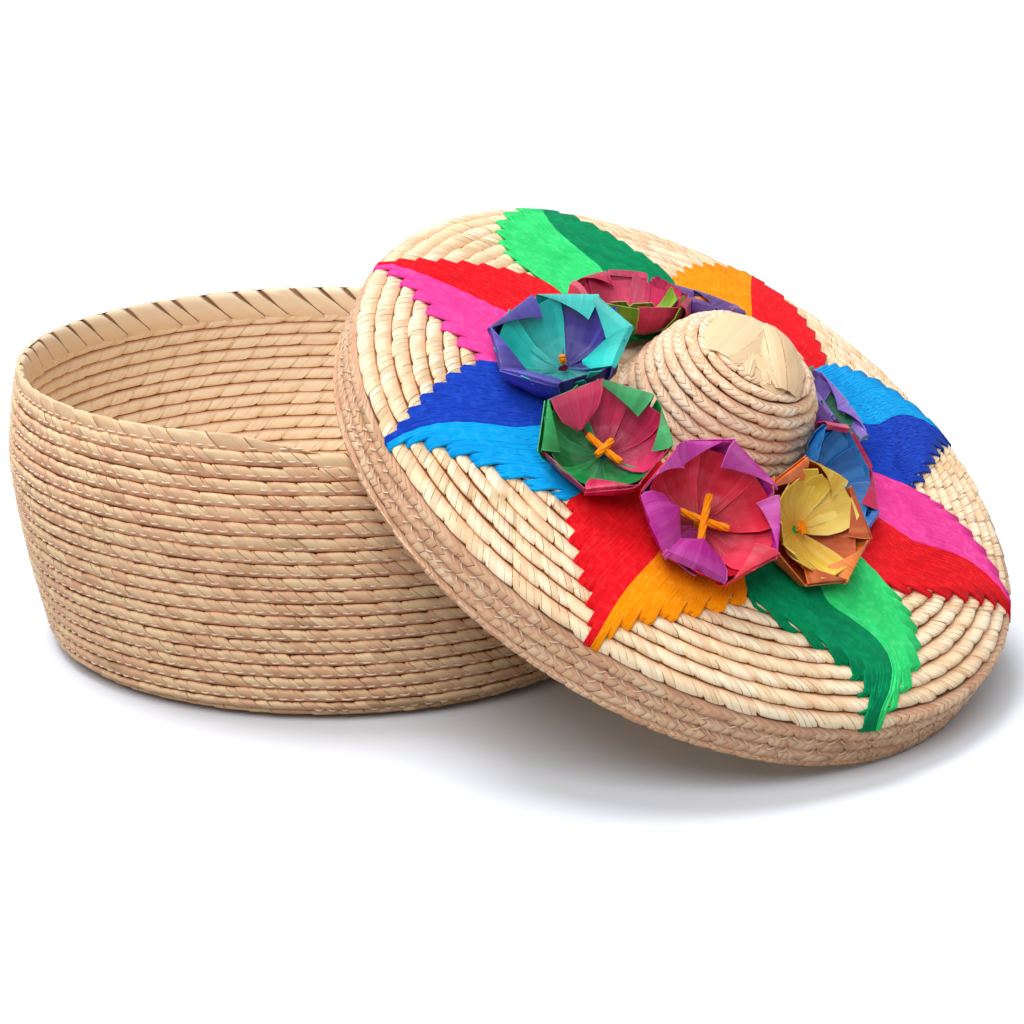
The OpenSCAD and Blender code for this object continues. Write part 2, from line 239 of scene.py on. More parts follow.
def braid(bm, name, body, material, node):
    """Closes a strip of braid where it is open, turns its faces outward and makes it a piece."""
    bmesh.ops.remove_doubles(bm, verts=bm.verts, dist=0.004 * MM)
    open_edges = [e for e in bm.edges if e.is_boundary]
    if open_edges:
        bmesh.ops.holes_fill(bm, edges=open_edges, sides=0)
    bmesh.ops.recalc_face_normals(bm, faces=bm.faces)
    piece(name, smooth_mesh(bm, name, BRAID_SHARP), body, material, [node])


def solid_ribbon(bm, name, thick=RIBBON_T):
    """Gives flat ribbons their thickness."""
    bmesh.ops.recalc_face_normals(bm, faces=bm.faces)
    bmesh.ops.solidify(bm, geom=bm.faces[:], thickness=thick * MM)
    bmesh.ops.recalc_face_normals(bm, faces=bm.faces)
    return smooth_mesh(bm, name, RIBBON_SHARP)


def bent_grid(columns, rows, shape, into=None):
    """A flat grid bent by shape(column, row), which gives each point's place, in mm, and its UV."""
    bm = bmesh.new()
    bmesh.ops.create_grid(bm, x_segments=columns, y_segments=rows, size=0.5)
    mesh = bpy.data.meshes.new("grid")
    bm.to_mesh(mesh)
    bm.free()
    flat = np.empty(len(mesh.vertices) * 3)
    mesh.vertices.foreach_get("co", flat)
    flat = flat.reshape(-1, 3)
    column = np.rint((flat[:, 0] + 0.5) * columns).astype(int)
    row = np.rint((flat[:, 1] + 0.5) * rows).astype(int)
    places, uvs = shape(column, row)
    mesh.vertices.foreach_set("co", (places * MM).ravel())
    corner = np.empty(len(mesh.loops), int)
    mesh.loops.foreach_get("vertex_index", corner)
    layer = mesh.uv_layers.new(name="weave")
    layer.uv.foreach_set("vector", uvs[corner].ravel())
    bm = into or bmesh.new()
    bm.from_mesh(mesh)
    bpy.data.meshes.remove(mesh)
    return bm


def tubes(name, strands, radius, roundness=1):
    """Round strands as one mesh. Each has its points, in mm, and their shares of the radius."""
    curve = bpy.data.curves.new(name, "CURVE")
    curve.dimensions = "3D"
    curve.bevel_depth = radius * MM
    curve.bevel_resolution = roundness
    curve.use_fill_caps = True
    for points, shares in strands:
        spline = curve.splines.new("POLY")
        spline.points.add(len(points) - 1)
        places = np.column_stack([points * MM, np.ones(len(points))])
        spline.points.foreach_set("co", places.ravel())
        spline.points.foreach_set("radius", np.asarray(shares, dtype=float))
    holder = bpy.data.objects.new(name, curve)
    bpy.context.scene.collection.objects.link(holder)
    graph = bpy.context.evaluated_depsgraph_get()
    mesh = bpy.data.meshes.new_from_object(holder.evaluated_get(graph))
    bpy.data.objects.remove(holder)
    bpy.data.curves.remove(curve)
    mesh.name = name
    mesh.shade_smooth()
    return mesh


def piece(name, mesh, body, material, nodes=()):
    """An object that rides on a body and stands for CAD nodes."""
    obj = bpy.data.objects.new(name, mesh)
    bpy.context.scene.collection.objects.link(obj)
    mesh.materials.clear()
    mesh.materials.append(material)
    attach(obj, body)
    if nodes:
        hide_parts(*nodes)


# ---------------------------------------------------------------- braid

# Section of a strip of braid, from the lip down its outer face to the hidden edge and back up its
# inner face. Each point has its distance from the lip in rows, its height above the wall's outline
# in mm, how much a fold moves it, and its place in the pattern: 0 in a crevice, 1 at the lip, and 4
# more than that on the inner face.
SECTION = np.array([
    (-0.02, -0.60, 0.3, 1.10), (0.02, 0.02, 1.0, 1.06), (-0.03, 0.62, 1.0, 1.00),
    (-0.17, 0.92, 1.0, 0.86), (-0.42, 0.78, 1.0, 0.60), (-0.70, 0.28, 0.8, 0.32),
    (-1.02, -0.70, 0.1, -0.05), (-1.55, -1.45, 0.0, -0.10), (-1.70, -2.30, 0.6, 5.00),
    (-1.62, -3.05, 1.0, 5.00), (-1.36, -3.35, 1.0, 4.85), (-0.98, -3.02, 0.8, 4.50),
    (-0.76, -2.25, 0.2, 4.05), (-0.60, -1.50, 0.0, 4.00),
])

# The last turn of the basket shows its whole inner face
RIM_SECTION = np.array([
    (0.00, -0.75, 0.6, 1.05), (0.00, -0.10, 1.0, 1.00), (-0.10, 0.55, 1.0, 0.90),
    (-0.40, 0.60, 1.0, 0.60), (-0.72, 0.15, 0.8, 0.30), (-1.02, -0.75, 0.1, -0.05),
    (-1.60, -1.50, 0.0, -0.10), (-1.98, -2.20, 0.4, 4.25), (-1.94, -3.15, 0.6, 4.30),
    (-1.60, -3.55, 0.6, 4.35), (-1.20, -3.45, 0.6, 4.45), (-0.80, -3.10, 0.9, 4.65),
    (-0.40, -2.50, 1.0, 4.85), (-0.10, -1.60, 1.0, 5.00),
])

# The strip bent round the lid's edge
EDGE_SECTION = np.array([
    (0.00, -1.60, 0.2, 1.00), (0.00, -0.50, 0.4, 1.00), (-0.12, 0.30, 0.8, 0.95),
    (-0.45, 0.70, 1.0, 0.75), (-0.85, 0.55, 0.8, 0.45), (-1.20, -0.10, 0.3, 0.02),
    (-1.40, -1.20, 0.0, -0.10), (-1.30, -2.60, 0.2, 4.05), (-0.90, -3.50, 0.8, 4.60),
    (-0.35, -3.45, 0.8, 4.95), (-0.05, -2.70, 0.4, 5.00),
])

# Places of the mesh's columns in a fold, with how high its face and how far its lip is there
FOLD_AT = np.array([0.0, 0.055, 0.34, 0.68, 0.94])
FOLD_LIFT = np.array([-0.34, 0.20, 0.12, 0.0, -0.12])
FOLD_DROP = np.array([-0.75, -0.06, 0.14, 0.08, -0.22])
# How much the folds differ in height, in width and in the slope of the lip
FOLD_SCATTER = (0.10, 0.16, 0.20)
# Shares of a row over which a fold moves the lip, and the hidden edge from its own place
LIP_REACH, HEM_REACH, HEM_AT = 0.45, 0.4, 0.1
TURN_STEPS = 180      # points on a turn at which its length is measured


def fold_columns(length, fold):
    """Distances along a strip of its mesh columns, and each column's place counted in folds."""
    count = max(3, int(round(length / fold)))
    starts = (np.arange(count + 1) + chance.uniform(-0.22, 0.22, count + 1)) * length / count
    starts[0], starts[-1] = 0, length
    widths = np.diff(starts)
    along = (starts[:-1, None] + widths[:, None] * FOLD_AT[None, :]).ravel()
    counted = (np.arange(count)[:, None] + FOLD_AT[None, :]).ravel()
    return np.append(along, length), np.append(counted, count)


def coil(line, first, last, pitch, end_angle, place=None, section=SECTION, fold=FOLD, lean=0.6,
         lean_in=None, rough=1.0, turns=None, limit=math.inf, taper=0.0):
    """A strip of braid wound along an outline, each turn lapped with the one before.

    first and last are where the strip's lip starts and ends on the outline, and end_angle is the
    angle at which it ends, in degrees. lean is how far the folds lean along the strip for each
    millimetre across it. A ring is a coil with first equal to last and its turns given. The strip is
    flattened against limit, a distance along the outline. lean_in is lean for the inner face, and the
    strip comes to a point over its last taper millimetres.
    """
    turns = turns or (last - first) / pitch
    rise = (last - first) / turns
    t = np.linspace(0, turns, int(turns * TURN_STEPS) + 2)
    radius = on_outline(line, first + rise * t, 0)[0]
    steps = 0.5 * (radius[1:] + radius[:-1]) * np.diff(t) * 2 * math.pi
    length = np.concatenate([[0], np.cumsum(steps)])
    along, counted = fold_columns(length[-1], fold)
    turn_at = np.interp(along, length, t)
    count = int(counted[-1]) + 1
    high, wide, slope = (chance.normal(0, scatter * rough, count) for scatter in FOLD_SCATTER)
    closed = np.vstack([section, section[:1]])
    closed_v = np.append(section[:, 3], section[-1, 3] - 0.2)

    def shape(column, row):
        a, b, moved = closed[row, 0] * pitch, closed[row, 1], closed[row, 2]
        number = np.minimum(counted[column].astype(int), count - 1)
        part = counted[column] - np.floor(counted[column])
        inside = np.rint(np.interp(part, FOLD_AT, np.arange(len(FOLD_AT)))).astype(int)
        drop = rough * FOLD_DROP[inside] + wide[number] + slope[number] * (part - 0.5)
        lift = rough * FOLD_LIFT[inside] + high[number]
        from_hem = np.abs(closed[row, 0] - section[:, 0].min() - HEM_AT)
        near_lip = np.clip(1 - np.abs(closed[row, 0]) / LIP_REACH, 0, 1)
        near_hem = np.clip(1 - from_hem / HEM_REACH, 0, 1)
        a = a + drop * (near_lip - near_hem)
        b = b + lift * moved * np.where(b > -1, 1, -1)
        if taper:
            a = np.minimum(a, -pitch * np.clip(1 - (length[-1] - along[column]) / taper, 0, 1))
        slant = lean if lean_in is None else np.where(closed_v[row] > 2, lean_in, lean)
        s = np.minimum(first + rise * turn_at[column] + a, limit)
        r, z = on_outline(line, s, b)
        middle = on_outline(line, first + rise * turn_at[column], 0)[0]
        turn_angle = 2 * math.pi * (turn_at[column] - turns)
        angle = math.radians(end_angle) + turn_angle - slant * a / np.maximum(middle, 8)
        places = np.stack([r * np.cos(angle), r * np.sin(angle), z], axis=1)
        if place is not None:
            places = place(places)
        places[:, 2] = np.maximum(places[:, 2], FLOOR_GAP)
        return places, np.stack([counted[column], closed_v[row]], axis=1)

    return bent_grid(len(along) - 1, len(section), shape)


# ---------------------------------------------------------------- materials

# Settings of nodes
TIMES, PLUS, MINUS = {"operation": "MULTIPLY"}, {"operation": "ADD"}, {"operation": "SUBTRACT"}
FLOOR, SIZE, MOST = {"operation": "FLOOR"}, {"operation": "ABSOLUTE"}, {"operation": "MAXIMUM"}
NUMBERED = {"noise_dimensions": "1D"}
SMOOTH = {"interpolation_type": "SMOOTHSTEP"}


def linear(code):
    """An sRGB hex colour as linear RGBA."""
    parts = [int(code[i:i + 2], 16) / 255 for i in (1, 3, 5)]
    return [c / 12.92 if c <= 0.04045 else ((c + 0.055) / 1.055) ** 2.4 for c in parts] + [1.0]


def add(tree, kind, *values, named=None, **settings):
    """Adds a node with its settings. values go to its open inputs in order, the others by name.

    An input is a value, a hex colour, a socket, or a node, which gives its first open output.
    """
    node = tree.nodes.new("ShaderNode" + kind)
    for key, value in settings.items():
        setattr(node, key, value)
    inputs = list(zip([socket for socket in node.inputs if socket.enabled], values))
    inputs += [(node.inputs[key], value) for key, value in (named or {}).items()]
    for socket, value in inputs:
        if isinstance(value, bpy.types.Node):
            value = next(output for output in value.outputs if output.enabled)
        if isinstance(value, bpy.types.NodeSocket):
            tree.links.new(value, socket)
        else:
            socket.default_value = linear(value) if isinstance(value, str) else value
    return node


def layered(tree, colour, *layers):
    """Lays colours over a first one.

    A layer is a pattern, two of its values, how strongly the colour covers at each, and the
    colour. One with only a pattern and a colour covers as strongly as the pattern says.
    """
    for pattern, *span, over in layers:
        part = add(tree, "MapRange", pattern, *span, **SMOOTH) if span else pattern
        colour = add(tree, "Mix", part, colour, over, data_type="RGBA")
    return colour


def new_material(name):
    material = bpy.data.materials.new(name)
    material.use_nodes = True
    material.node_tree.nodes.clear()
    return material, material.node_tree


# Painted light: the inner face of every row is mixed towards this paler colour, as if lit from above
PALM_LIT_INNER = "#FFEBCB"


def palm(name, light, mid, tan, streak, crevice, slit_shade, leaves, low_shade, chevron=0.0, wedge=False):
    """Sun-dried palm leaf, split, folded and sewn: matt with a faint waxy sheen, fibres along each leaf.

    Each fold takes its own shade, and some folds are streaked with the green-grey of the leaf's outer
    side. Painted shade darkens each row towards its crevice and in the crevice itself, and the gaps
    between leaves; the inner face is painted paler, for light falling on it from above. slit_shade is
    how dark the painted shade in the gaps between leaves is, leaves how many leaves show in a fold,
    low_shade how tan the painted shade makes a row near its crevice, and chevron how far the leaves bend
    in a herringbone, each leaf then painted in shade on one side. With wedge, the gaps on the inner face
    are wide at the lip.
    """
    material, tree = new_material(name)
    parts = add(tree, "SeparateXYZ", add(tree, "UVMap", uv_map="weave"))
    u, pattern_v = parts.outputs[0], parts.outputs[1]
    inner = add(tree, "Math", pattern_v, 2.0, operation="GREATER_THAN")
    v = add(tree, "Math", pattern_v, add(tree, "Math", inner, 4.0, **TIMES), **MINUS)
    from_middle = add(tree, "Math", add(tree, "Math", v, 0.5, **MINUS), **SIZE)
    bent = add(tree, "Math", from_middle, chevron, **TIMES)
    leaf = add(tree, "Math", add(tree, "Math", u, leaves, **TIMES), bent, **PLUS)
    leaf_number = add(tree, "Math", leaf, **FLOOR)
    leaf_part = add(tree, "Math", leaf, operation="FRACT")
    shade = add(tree, "TexWhiteNoise", add(tree, "Math", u, **FLOOR), **NUMBERED)
    # In a herringbone the leaves of a row's upper half have other shades than those of its lower
    upper = add(tree, "Math", v, 0.5, operation="GREATER_THAN")
    half = add(tree, "Math", upper, 57.0 if chevron else 0.0, **TIMES)
    leaf_shade = add(tree, "TexWhiteNoise", add(tree, "Math", leaf_number, half, **PLUS), **NUMBERED)
    # Fibres are 0.3 mm apart, as coarse as the render can show
    fibre_at = add(tree, "CombineXYZ", add(tree, "Math", leaf, 9.0, **TIMES), v)
    fibre = add(tree, "TexNoise", fibre_at, named={"Scale": 1.0, "Detail": 3.0, "Roughness": 0.6})
    place = add(tree, "TexCoord").outputs["Object"]
    # Green-grey streaks some 40 mm long and 6 mm high lie across several rows
    streak_at = add(tree, "VectorMath", place, (26.0, 26.0, 120.0), **TIMES)
    patch = add(tree, "TexNoise", streak_at, named={"Scale": 1.0, "Detail": 2.0})
    streaked = add(tree, "Math", add(tree, "MapRange", patch, 0.54, 0.70, **SMOOTH),
                   add(tree, "MapRange", leaf_shade, 0.3, 0.7, **SMOOTH), **TIMES)
    # The last layer is painted light: the inner face is mixed towards a paler colour, as if lit from
    # above
    colour = layered(tree, mid, (shade, light),
                     (leaf_shade, 0.5, 1.0, 0.0, 0.5, tan),
                     (add(tree, "Math", streaked, 0.6, **TIMES), streak),
                     (fibre, 0.4, 0.8, 0.0, 0.35, tan),
                     (add(tree, "Math", inner, 0.88, **TIMES), PALM_LIT_INNER))
    # Painted shade: in a herringbone one side of each leaf is painted tan, so that the leaf looks raised
    if chevron:
        colour = layered(tree, colour, (leaf_part, 0.35, 1.0, 0.0, 0.55, tan))
    # Painted shade: a row turns tan towards its crevice, and takes the crevice colour in it
    colour = layered(tree, colour, (v, 0.08, 0.62, low_shade, 0.0, tan),
                     (v, -0.02, 0.15, 1.0, 0.0, crevice))
    gap = add(tree, "Math", leaf_part, add(tree, "Math", 1.0, leaf_part, **MINUS), operation="MINIMUM")
    if wedge:
        opened = add(tree, "MapRange", v, 0.45, 1.0, 0.01, 0.13, **SMOOTH)
        wide = add(tree, "Math", opened, inner, **TIMES)
        slit = add(tree, "MapRange", gap, add(tree, "Math", wide, 0.4, **TIMES),
                   add(tree, "Math", wide, 0.03, **PLUS), 1.0, 0.0, **SMOOTH)
    else:
        # Painted shade shows in some gaps, in dashes some 4 mm long, and fainter on the inner face
        noise = add(tree, "TexWhiteNoise", add(tree, "Math", leaf_number, 0.37, **PLUS), **NUMBERED)
        speckle = add(tree, "TexNoise", place, named={"Scale": 260.0})
        seen = add(tree, "Math", add(tree, "MapRange", noise, 0.25, 0.6, **SMOOTH),
                   add(tree, "MapRange", speckle, 0.34, 0.52, **SMOOTH), **TIMES)
        fainter = add(tree, "Math", 1.0, add(tree, "Math", inner, 0.6, **TIMES), **MINUS)
        seen = add(tree, "Math", seen, fainter, **TIMES)
        thin = add(tree, "MapRange", gap, 0.0, 0.03 * leaves ** 0.5 + 0.02, 1.0, 0.0, **SMOOTH)
        slit = add(tree, "Math", thin, seen, **TIMES)
    # Painted shade: the gaps between leaves are darkened with the crevice colour
    colour = layered(tree, colour, (add(tree, "Math", slit, slit_shade, **TIMES), crevice))
    height = add(tree, "Math", add(tree, "Math", fibre, 0.35, **TIMES),
                 add(tree, "Math", slit, 0.9, **TIMES), **MINUS)
    bump = add(tree, "Bump", named={"Height": height, "Strength": 0.6, "Distance": 0.0005})
    shader = add(tree, "BsdfPrincipled", colour, named={
        "Normal": bump, "Roughness": 0.58, "Specular IOR Level": 0.35})
    add(tree, "OutputMaterial", shader)
    return material


def cotton(name, colour, shade):
    """Thin waxed cotton thread, off-white and slightly uneven, used for the stitches between rows."""
    material, tree = new_material(name)
    place = add(tree, "TexCoord").outputs["Object"]
    # Patches about 1 mm long
    noise = add(tree, "TexNoise", place, named={"Scale": 900.0})
    tint = layered(tree, colour, (noise, shade))
    add(tree, "OutputMaterial", add(tree, "BsdfPrincipled", tint, named={"Roughness": 0.6}))
    return material


# ---------------------------------------------------------------- basket

PALM_OUTSIDE = palm("palm_outside", "#FCDDB0", "#F0C49C", "#DA9E7C", "#A98D66", "#7A4626",
                    slit_shade=0.85, leaves=2.3, low_shade=0.8)
PALM_LID = palm("palm_lid", "#FFF0D2", "#F8DFB6", "#E4B086", "#D4BC88", "#8A5028",
                slit_shade=0.85, leaves=3.6, low_shade=0.8)
PALM_CROWN = palm("palm_crown", "#FFF2D8", "#FEE2BC", "#E8AE88", "#DCC08C", "#62361C",
                  slit_shade=1.0, leaves=3.4, low_shade=0.6, chevron=2.4)
PALM_KNOT = palm("palm_knot", "#F4DAB2", "#EFCEA2", "#DEB088", "#D2B284", "#7A4626",
                 slit_shade=0.8, leaves=0.9, low_shade=0.3)
PALM_SKIRT = palm("palm_skirt", "#F8DAB4", "#EBBF98", "#CF9272", "#AC8C68", "#643618",
                  slit_shade=1.0, leaves=3.2, low_shade=0.6, chevron=2.2)
PALM_STRIP = palm("palm_strip", "#FBDDB4", "#F0C79E", "#DDA27C", "#D8B884", "#7E4826",
                  slit_shade=0.9, leaves=1.0, low_shade=0.3, wedge=True)
THREAD = cotton("cotton_thread", "#EFDCCA", "#E9C9A8")

STITCHED = 0.94       # share of the stitches that were sewn, or still show
STITCH_BOW = np.array([-0.5, 0.12, 0.12, -0.5])    # a stitch dips into the braid at its ends


def stitches(line, first, last, pitch, end_angle, across, rise, gap, slant=0.0, place=None):
    """Short stitches of thread on the rows of a coil, gap mm apart.

    across is their place in a row, counted back from its lip, and rise their height above the
    outline. slant is how far they slope across the row, one way or the other.
    """
    turns = (last - first) / pitch
    strands = []
    t = 0.5 / 360
    while t < turns:
        s = first + pitch * t + across * pitch
        radius = on_outline(line, s, 0)[0]
        step = gap * random.uniform(0.85, 1.2) / (2 * math.pi * radius)
        if random.random() < STITCHED:
            x = np.linspace(0, step * random.uniform(0.58, 0.72), 4)
            lean = slant * pitch * (random.choice((-1, 1)) * np.linspace(-0.5, 0.5, 4))
            angle = math.radians(end_angle) + 2 * math.pi * (t + x - turns)
            r, z = on_outline(line, s + random.uniform(-0.2, 0.2) + lean, rise + STITCH_BOW)
            points = np.stack([r * np.cos(angle), r * np.sin(angle), z], axis=1)
            strands.append((points if place is None else place(points), np.ones(4)))
        t += step
    return strands


def make_basket():
    bm = coil(base_outline(), BASE_START, BASE_R - 1, LID_ROW, STRIP_END, rough=0.6)
    braid(bm, "base_braid", "basket", PALM_OUTSIDE, "basket_base")

    wall = wall_outline()
    foot = slice(200)    # points of the outline up to which its radius only grows
    bottom = np.interp(BASE_R, wall["r"][foot], wall["s"][foot])
    top = np.interp(WALL_TOP, wall["z"], wall["s"])
    pitch = (top - bottom) / round((top - bottom) / ROW)
    bm = coil(wall, bottom, top, pitch, STRIP_END, lean=1.1)
    braid(bm, "wall_braid", "basket", PALM_OUTSIDE, "basket_wall")

    rise = BASKET_H - WALL_TOP
    rim = outline(np.append(wall["r"], wall["r"][-1]), np.append(wall["z"], BASKET_H), 1)
    bm = coil(rim, top, top + rise - 0.3, rise, STRIP_END, section=RIM_SECTION, lean=1.0,
              lean_in=-1.15, fold=12.0, rough=1.2, turns=1, taper=24.0)
    braid(bm, "rim_braid", "basket", PALM_STRIP, "basket_last_turn")

    strands = stitches(wall, bottom + 3 * pitch, top, pitch, STRIP_END,
                       across=-0.62, rise=0.72, gap=5.0)
    strands += stitches(rim, top, top + rise, rise, STRIP_END, across=-0.78, rise=0.42, gap=5.0)
    mesh = tubes("wall_stitches", strands, THREAD_R, roundness=0)
    piece("wall_stitches", mesh, "basket", THREAD)


make_basket()


# ---------------------------------------------------------------- lid

def make_lid():
    crown = crown_outline()
    # One turn more than shows, flattened against the foot, closes the seam with the brim
    bm = coil(crown, CROWN_START, crown["length"] + CROWN_ROW, CROWN_ROW, LID_END, place=leaned,
              lean=-0.5, rough=1.1, limit=crown["length"])
    braid(bm, "crown_braid", "lid", PALM_CROWN, "lid_crown")

    brim = brim_outline()
    shoulder, hem = brim["shoulder"], brim["length"] - EDGE_H
    pitch = (hem - shoulder) / SKIRT_ROWS
    bm = coil(brim, BRIM_START, shoulder, LID_ROW, LID_END, place=leaned, lean=-0.9, rough=1.25)
    braid(bm, "brim_braid", "lid", PALM_LID, "lid_brim")

    bm = coil(brim, shoulder, hem + pitch, pitch, LID_END, place=leaned, lean=-0.9, limit=hem + 1.0)
    braid(bm, "skirt_braid", "lid", PALM_SKIRT, "lid_skirt")

    lip = brim["length"] - 0.2
    bm = coil(brim, lip, lip, EDGE_H, LID_END, place=leaned, fold=9.0, section=EDGE_SECTION,
              lean=-0.9, rough=0.7, turns=1)
    braid(bm, "edge_braid", "lid", PALM_SKIRT, "lid_edge")

    strands = stitches(brim, shoulder + pitch, hem, pitch, LID_END, across=-0.72, rise=0.55,
                       gap=4.6, slant=0.4, place=leaned)
    mesh = tubes("skirt_stitches", strands, SKIRT_THREAD_R, roundness=0)
    piece("skirt_stitches", mesh, "lid", THREAD)


make_lid()


# Leaves folded over the crown's top, seen as the camera sees it: middle, length, width and
# direction, height above the crown, and how far the leaf bows up, in mm and degrees. The last four
# are frayed ends.
KNOT_LEAVES = (
    (-6.5, 3.5, 34.0, 23.0, 66.0, 0.7, 2.4), (8.5, 0.0, 34.0, 17.0, 104.0, 2.0, 1.8),
    (1.0, -9.0, 26.0, 15.0, 150.0, 0.5, 1.2), (-3.0, 11.0, 22.0, 13.0, 20.0, 0.4, 1.4),
    (-2.0, -12.5, 10.0, 4.0, 75.0, 1.2, 0.6), (3.5, -13.0, 9.0, 3.4, 110.0, 1.3, 0.5),
    (12.0, -9.0, 12.0, 2.6, 30.0, 1.8, 0.5), (-12.0, -6.0, 14.0, 2.4, 120.0, 1.0, 0.4),
)
VIEW_TURN = 190.7     # degrees from the lid's own directions to those of the camera's right and back
LEAF_COLUMNS, LEAF_ROWS = 16, 8
LEAF_PATTERN = 11     # mm of a leaf's width that one step of the palm's pattern covers


def make_knot():
    crown = crown_outline()
    order = np.argsort(crown["r"])
    middle = math.radians(VIEW_TURN)
    bm = bmesh.new()
    for x0, y0, length, width, direction, lift, bow in KNOT_LEAVES:
        turn = math.radians(direction + VIEW_TURN)
        cx = x0 * math.cos(middle) - y0 * math.sin(middle)
        cy = x0 * math.sin(middle) + y0 * math.cos(middle)
        wave = random.uniform(0, 6)

        def shape(column, row):
            t, y = column / LEAF_COLUMNS * 2 - 1, row / LEAF_ROWS * 2 - 1
            half = width / 2 * (1 - 0.45 * t ** 4)
            side = y * half + 0.6 * np.sin(2.2 * t + wave)
            x = cx + t * length / 2 * math.cos(turn) - side * math.sin(turn)
            across = cy + t * length / 2 * math.sin(turn) + side * math.cos(turn)
            r = np.hypot(x, across)
            z = np.interp(r, crown["r"][order], crown["z"][order]) + lift
            z = z + bow * (1 - y ** 2) * (1 - 0.6 * t ** 2) + 0.15 * np.sin(9 * y + wave)
            places = leaned(np.stack([x, across, z], axis=1))
            u, v = (y + wave) * width / LEAF_PATTERN, 0.45 + 0.4 * (1 - np.abs(t) ** 6)
            return places, np.stack([u, v], axis=1)

        bent_grid(LEAF_COLUMNS, LEAF_ROWS, shape, bm)
    mesh = solid_ribbon(bm, "knot_leaves", LEAF_T)
    piece("knot_leaves", mesh, "lid", PALM_KNOT, ["lid_knot"])


# ---------------------------------------------------------------- embroidery

def wool(name, colour, dark, light):
    """Dyed wool yarn laid side by side: matt and soft, and its combed fibres catch the light."""
    material, tree = new_material(name)
    uv = add(tree, "UVMap", uv_map="UVMap")
    place = add(tree, "TexCoord").outputs["Object"]
    # Tufts some 2 mm long, and broad patches of some 20 mm where the dye took more
    tuft = add(tree, "TexNoise", place, named={"Scale": 420.0, "Detail": 3.0})
    broad = add(tree, "TexNoise", place, named={"Scale": 45.0, "Detail": 2.0})
    fibre_at = add(tree, "VectorMath", uv, (9.0, 9.0, 1.0), **TIMES)
    fibre = add(tree, "TexNoise", fibre_at, named={"Scale": 1.0, "Detail": 4.0})
    tint = layered(tree, colour, (tuft, 0.42, 0.75, 0.0, 0.5, light),
                   (fibre, 0.46, 0.72, 0.0, 0.75, dark), (broad, 0.45, 0.75, 0.0, 0.35, dark))
    height = add(tree, "Math", tuft, fibre, **PLUS)
    bump = add(tree, "Bump", named={"Height": height, "Strength": 0.6, "Distance": 0.0003})
    shader = add(tree, "BsdfPrincipled", tint, named={
        "Normal": bump, "Roughness": 0.85, "Specular IOR Level": 0.05,
        "Sheen Weight": 0.06, "Sheen Roughness": 0.4})
    add(tree, "OutputMaterial", shader)
    return material


YARNS = {
    "red": wool("wool_red", "#F01824", "#C00818", "#FF3B40"),
    "pink": wool("wool_pink", "#FA48A4", "#DC2A88", "#FF70BE"),
    "blue": wool("wool_blue", "#1C45C0", "#0C2A88", "#2F62E0"),
    "sky": wool("wool_sky", "#08AAF2", "#0686D0", "#35C0FC"),
    "orange": wool("wool_orange", "#FF9A06", "#EA7600", "#FFB433"),
    "green": wool("wool_green", "#008C58", "#00643E", "#16AC70"),
    "mint": wool("wool_mint", "#34E27C", "#14B45C", "#6CF8A0"),
}
BLADE_COLOURS = (("red", "pink"), ("blue", "sky"), ("red", "orange"), ("green", "mint"),
                 ("red", "pink"), ("blue", "sky"), ("red", "orange"), ("green", "mint"))


def narrowed(r, fan_r):
    """How far a blade has narrowed: 0 where it starts to, and 1 at its tip."""
    return np.clip((r - fan_r) / (YARN_TIP_R - fan_r), 0, 1)


def crevice_at(brim, root_s, k, side, at_fan):
    """Distance along the brim of the crevice, nearest to its blade's outline, where a strand ends."""
    fan_r, power = YARN_SHAPE[2 * k + (side + 1) // 2]
    s = np.arange(root_s, brim["shoulder"], 1.0)
    r = np.interp(s, brim["s"], brim["r"])
    full = FULLER if (k, side) == FULLER_HALF else YARN_FULL
    half = BLADE_ANGLE / 2 * (1 - narrowed(r, fan_r)) ** power + full
    off = at_fan * np.minimum(1, fan_r / r)
    inside = s[np.abs(off) <= half + 0.2]
    reach = inside[-1] if len(inside) else root_s
    angle_there = k * BLADE_ANGLE + at_fan * 0.8
    lips = brim["shoulder"] + LID_ROW * ((angle_there - LID_END) / 360 - np.arange(-1, 22))
    lips = lips[lips < brim["shoulder"] + 1]
    return lips[np.argmin(np.abs(lips - reach))] + PAST_LIP


def strand(brim, root_s, k, side, j):
    """Points of one strand of yarn, and their shares of its radius."""
    fan_r = YARN_SHAPE[2 * k + (side + 1) // 2][0]
    at_fan = side * BLADE_ANGLE / 2 * (j + 0.5 + random.uniform(-0.15, 0.15)) / STRANDS
    lift = random.uniform(-0.08, 0.1)
    end = crevice_at(brim, root_s, k, side, at_fan)
    end = end + random.uniform(-0.18, 0.18) - 0.4 * abs(math.sin(1.7 * at_fan + k))
    s = np.linspace(root_s, end, max(5, int((end - root_s) / STRAND_STEP)))
    r = np.interp(s, brim["s"], brim["r"])
    x = narrowed(r, fan_r)
    bow = YARN_BOW[k] * np.sin(math.pi * x) - YARN_SWEEP[k] * x
    angle = np.radians(k * BLADE_ANGLE + bow + at_fan * np.minimum(1, fan_r / r))
    proud = np.full_like(s, STRAND_AT + lift)
    proud += STRAND_WAVE * np.cos((s - end) / LID_ROW * 2 * math.pi)
    # The last step turns down into the crevice
    proud[-1], proud[-2] = -0.1, 1.2
    s[-2] = end - 0.8
    rr, z = on_outline(brim, s, proud)
    points = np.stack([rr * np.cos(angle), rr * np.sin(angle), z], axis=1)
    shares = np.interp(r, (YARN_ROOT_R, 70, 86, 100), (0.7, 0.9, 1.0, 1.2))
    return leaned(points), shares


